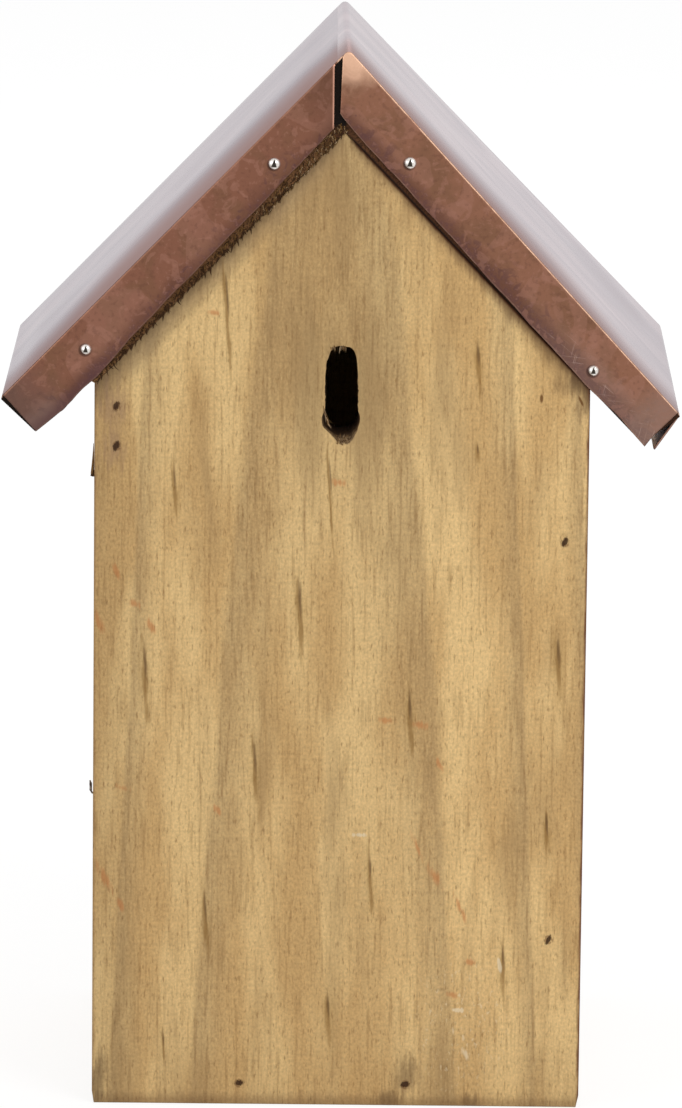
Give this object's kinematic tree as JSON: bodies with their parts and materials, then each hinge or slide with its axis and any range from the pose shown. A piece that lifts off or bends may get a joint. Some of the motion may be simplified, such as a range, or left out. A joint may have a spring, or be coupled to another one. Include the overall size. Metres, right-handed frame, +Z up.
{
  "type": "bird nest box",
  "caption": "Gabled wooden nest box with a narrow upright entrance slot, a folded copper roof cover and a side clean-out door on pivot pins with a turning wire catch.",
  "frame": {"origin": "middle of the base, on the surface that the box stands on", "axes": "+Z up, the front panel faces -Y, +X to the right of someone who looks at the front"},
  "size_m": [0.1782, 0.123, 0.2818],
  "materials": {
    "box_wood": "sawn pale softwood, stained and weathered",
    "roof_wood": "rough dark end grain",
    "copper": "copper sheet, rolled and tarnished",
    "pin_nickel": "bright nickel",
    "brad_steel": "dull steel",
    "catch_steel": "weathered steel wire"
  },
  "bodies": {
    "box": {"front_panel": "box_wood", "back_panel": "box_wood", "right_side": "box_wood", "left_top_rail": "box_wood", "floor_board": "box_wood", "roof_board_left": "roof_wood", "roof_board_right": "roof_wood", "copper_cover": "copper", "front_cover_pins": "pin_nickel", "back_cover_pins": "pin_nickel", "front_brads": "brad_steel", "back_brads": "brad_steel", "roof_brads": "brad_steel", "door_pivot_front": "brad_steel", "door_pivot_back": "brad_steel"},
    "door": {"side_door": "box_wood"},
    "catch": {"door_catch": "catch_steel"}
  },
  "joints": [
    {"name": "door_swing", "type": "hinge", "parent": "box", "child": "door", "pos_m": [-0.059, 0, 0.1783], "axis": [0, 1, 0], "range_deg": [0, 78]},
    {"name": "catch_turn", "type": "hinge", "parent": "box", "child": "catch", "pos_m": [-0.065, -0.051, 0.0835], "axis": [-1, 0, 0], "range_deg": [0, 90]}
  ]
}
